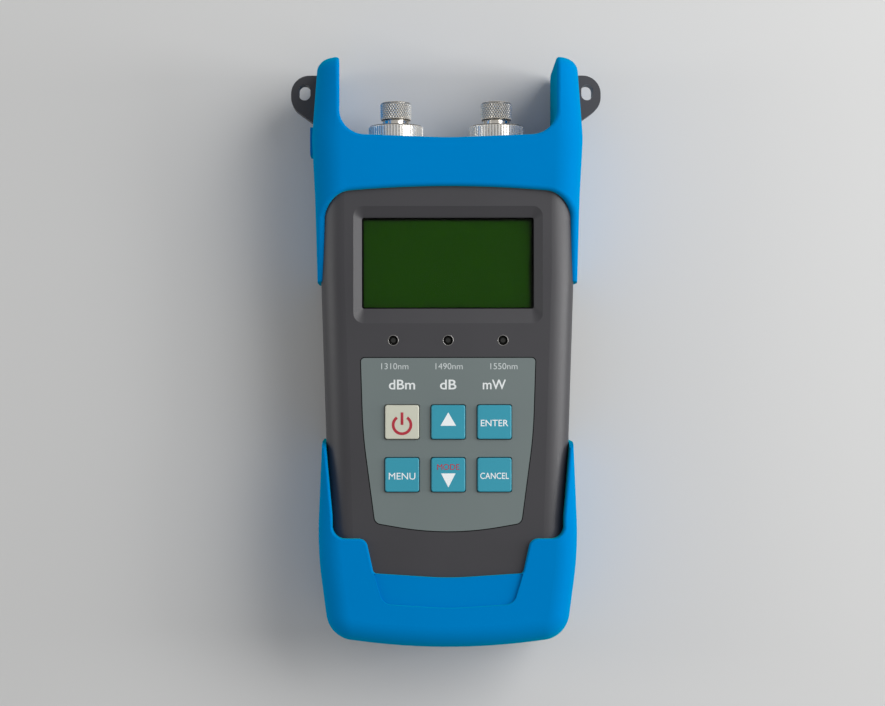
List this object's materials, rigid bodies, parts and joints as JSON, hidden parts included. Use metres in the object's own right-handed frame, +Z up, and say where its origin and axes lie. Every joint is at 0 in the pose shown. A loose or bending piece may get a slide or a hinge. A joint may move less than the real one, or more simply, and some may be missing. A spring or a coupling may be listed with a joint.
{
  "type": "optical power meter",
  "caption": "Handheld optical power meter: slim case in rubber end boots, display, keypad, indicators, capped screw-on fibre ports between protective horns, strap ears and battery door.",
  "frame": {"origin": "middle of the outline, on the surface that the meter lies on when it rests on its back", "axes": "+Y along the case towards the fibre ports, +Z up out of the front face, +X to the right of the display"},
  "size_m": [0.1052, 0.1948, 0.043],
  "materials": {
    "case_front": "moulded, fine matte grain",
    "case_rear": "moulded, fine matte grain",
    "top_rubber": "moulded satin rubber",
    "bottom_rubber": "moulded satin rubber",
    "window": "clear polished acrylic",
    "lcd": "dark green reflective panel",
    "light_box": "white moulding",
    "board": "green solder mask",
    "label": "printed polyester film",
    "key_teal": "silicone, satin",
    "key_cream": "silicone, satin",
    "mat": "silicone",
    "lamp": "dark clear lens",
    "nickel": "nickel plated, bright",
    "seal": "soft disc",
    "can": "plated can",
    "tray": "moulded",
    "contact": "nickel plated strip",
    "cell": "plain jacket, bright ends",
    "cover": "moulded, fine matte grain",
    "screw": "zinc plated",
    "module": "plain box",
    "buzzer": "moulded"
  },
  "bodies": {
    "meter": {"backlight": "light_box", "battery_cell_1": "cell", "battery_cell_2": "cell", "battery_cell_3": "cell", "battery_cell_4": "cell", "battery_contacts": "contact", "battery_tray": "tray", "board_screws": "screw", "bottom_boot": "bottom_rubber", "buzzer": "buzzer", "case_screws": "screw", "detector_left": "can", "detector_right": "can", "front_shell": "case_front", "indicator_left": "lamp", "indicator_middle": "lamp", "indicator_right": "lamp", "key_mat": "mat", "keypad_label": "label", "lcd_panel": "lcd", "lcd_window": "window", "main_board": "board", "port_barrel_left": "nickel", "port_barrel_right": "nickel", "rear_shell": "case_rear", "splitter_module": "module", "top_boot": "top_rubber"},
    "key_power": {"key_power": "key_cream"},
    "key_up": {"key_up": "key_teal"},
    "key_enter": {"key_enter": "key_teal"},
    "key_menu": {"key_menu": "key_teal"},
    "key_down": {"key_down": "key_teal"},
    "key_cancel": {"key_cancel": "key_teal"},
    "adapter_left": {"adapter_left": "nickel"},
    "ring_nut_left": {"ring_nut_left": "nickel"},
    "cap_seal_left": {"cap_seal_left": "seal"},
    "dust_cap_left": {"dust_cap_left": "nickel"},
    "adapter_right": {"adapter_right": "nickel"},
    "ring_nut_right": {"ring_nut_right": "nickel"},
    "cap_seal_right": {"cap_seal_right": "seal"},
    "dust_cap_right": {"dust_cap_right": "nickel"},
    "battery_cover": {"battery_cover": "cover"}
  },
  "joints": [
    {"name": "key_power_press", "type": "slide", "parent": "meter", "child": "key_power", "axis": [0, 0, -1], "range_m": [0, 0.0008], "stiffness_N_per_m": 1500},
    {"name": "key_up_press", "type": "slide", "parent": "meter", "child": "key_up", "axis": [0, 0, -1], "range_m": [0, 0.0008], "stiffness_N_per_m": 1500},
    {"name": "key_enter_press", "type": "slide", "parent": "meter", "child": "key_enter", "axis": [0, 0, -1], "range_m": [0, 0.0008], "stiffness_N_per_m": 1500},
    {"name": "key_menu_press", "type": "slide", "parent": "meter", "child": "key_menu", "axis": [0, 0, -1], "range_m": [0, 0.0008], "stiffness_N_per_m": 1500},
    {"name": "key_down_press", "type": "slide", "parent": "meter", "child": "key_down", "axis": [0, 0, -1], "range_m": [0, 0.0008], "stiffness_N_per_m": 1500},
    {"name": "key_cancel_press", "type": "slide", "parent": "meter", "child": "key_cancel", "axis": [0, 0, -1], "range_m": [0, 0.0008], "stiffness_N_per_m": 1500},
    {"name": "adapter_left_travel", "type": "slide", "parent": "meter", "child": "adapter_left", "axis": [0, 1, 0], "range_m": [0, 0.00275]},
    {"name": "ring_nut_left_turn", "type": "hinge", "parent": "adapter_left", "child": "ring_nut_left", "pos_m": [-0.017, 0.0735, 0.0215], "axis": [0, 1, 0], "range_deg": [0, 1321]},
    {"name": "cap_left_travel", "type": "slide", "parent": "adapter_left", "child": "cap_seal_left", "axis": [0, 1, 0], "range_m": [0, 0.00485]},
    {"name": "dust_cap_left_turn", "type": "hinge", "parent": "cap_seal_left", "child": "dust_cap_left", "pos_m": [-0.017, 0.0815, 0.0215], "axis": [0, 1, 0], "range_deg": [0, 2329]},
    {"name": "adapter_right_travel", "type": "slide", "parent": "meter", "child": "adapter_right", "axis": [0, 1, 0], "range_m": [0, 0.00275]},
    {"name": "ring_nut_right_turn", "type": "hinge", "parent": "adapter_right", "child": "ring_nut_right", "pos_m": [0.017, 0.0735, 0.0215], "axis": [0, 1, 0], "range_deg": [0, 1321]},
    {"name": "cap_right_travel", "type": "slide", "parent": "adapter_right", "child": "cap_seal_right", "axis": [0, 1, 0], "range_m": [0, 0.00485]},
    {"name": "dust_cap_right_turn", "type": "hinge", "parent": "cap_seal_right", "child": "dust_cap_right", "pos_m": [0.017, 0.0815, 0.0215], "axis": [0, 1, 0], "range_deg": [0, 2329]},
    {"name": "battery_cover_hinge", "type": "hinge", "parent": "meter", "child": "battery_cover", "pos_m": [0, -0.0554, 0.0022], "axis": [-1, 0, 0], "range_deg": [0, 75]}
  ],
  "couplings": [
    {"joint": "ring_nut_left_turn", "follows": "adapter_left_travel", "rad_per_m": 8377.6},
    {"joint": "dust_cap_left_turn", "follows": "cap_left_travel", "rad_per_m": 8377.6},
    {"joint": "ring_nut_right_turn", "follows": "adapter_right_travel", "rad_per_m": 8377.6},
    {"joint": "dust_cap_right_turn", "follows": "cap_right_travel", "rad_per_m": 8377.6}
  ]
}
